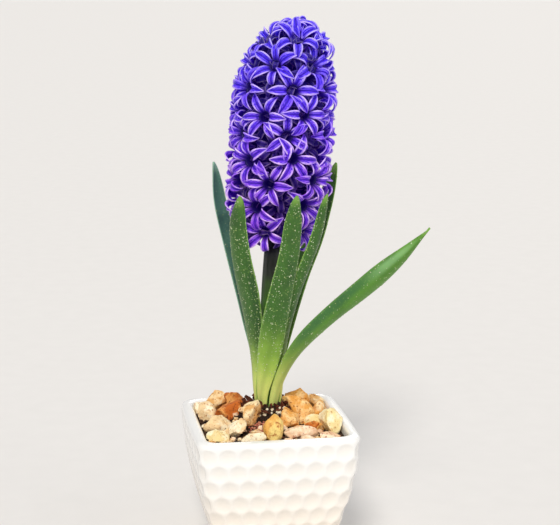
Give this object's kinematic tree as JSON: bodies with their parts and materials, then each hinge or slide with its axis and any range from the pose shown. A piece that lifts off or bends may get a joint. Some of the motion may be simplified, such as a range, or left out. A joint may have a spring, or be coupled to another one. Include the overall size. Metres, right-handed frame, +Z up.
{
  "type": "potted hyacinth with bulb",
  "caption": "Forced blue-violet hyacinth growing from its bulb in a small square dimpled white pot, dressed with warm chipped stones.",
  "frame": {"origin": "centre of the pot's flat underside", "axes": "+Z up along the plant, -Y towards the side that the picture shows best, +X to that side's right; the pot's sides lie along X and Y"},
  "size_m": [0.1316, 0.092, 0.3039],
  "materials": {
    "pot_glaze": "glossy white glaze",
    "soil": "dark crumbly bark soil",
    "bulb_skin": "papery tunic",
    "stalk": "smooth fleshy stem, satin",
    "leaf": "smooth fleshy leaf, semi-gloss",
    "leaf_shaded": "smooth fleshy leaf, semi-gloss",
    "petals": "waxy petals with pale edges, satin",
    "stone_warm": "rough chipped face",
    "stone_pale": "rough chipped face"
  },
  "bodies": {
    "root": {"pot": "pot_glaze", "soil": "soil", "bulb": "bulb_skin", "stalk": "stalk", "leaf_front": "leaf", "leaf_front_left": "leaf", "leaf_back_left": "leaf_shaded", "leaf_back_right": "leaf", "leaf_right": "leaf", "leaf_outer_right": "leaf", "flower_head": "petals", "stone_01": "stone_warm", "stone_02": "stone_pale", "stone_03": "stone_pale", "stone_04": "stone_warm", "stone_05": "stone_pale", "stone_06": "stone_pale", "stone_07": "stone_pale", "stone_08": "stone_warm", "stone_09": "stone_pale", "stone_10": "stone_pale", "stone_11": "stone_warm", "stone_12": "stone_warm", "stone_13": "stone_warm", "stone_14": "stone_pale", "stone_15": "stone_pale", "stone_16": "stone_pale", "stone_17": "stone_pale", "stone_18": "stone_pale", "stone_19": "stone_pale", "stone_20": "stone_pale", "stone_21": "stone_pale", "stone_22": "stone_pale", "stone_23": "stone_pale", "stone_24": "stone_pale", "stone_25": "stone_pale", "stone_26": "stone_warm"}
  },
  "joints": []
}
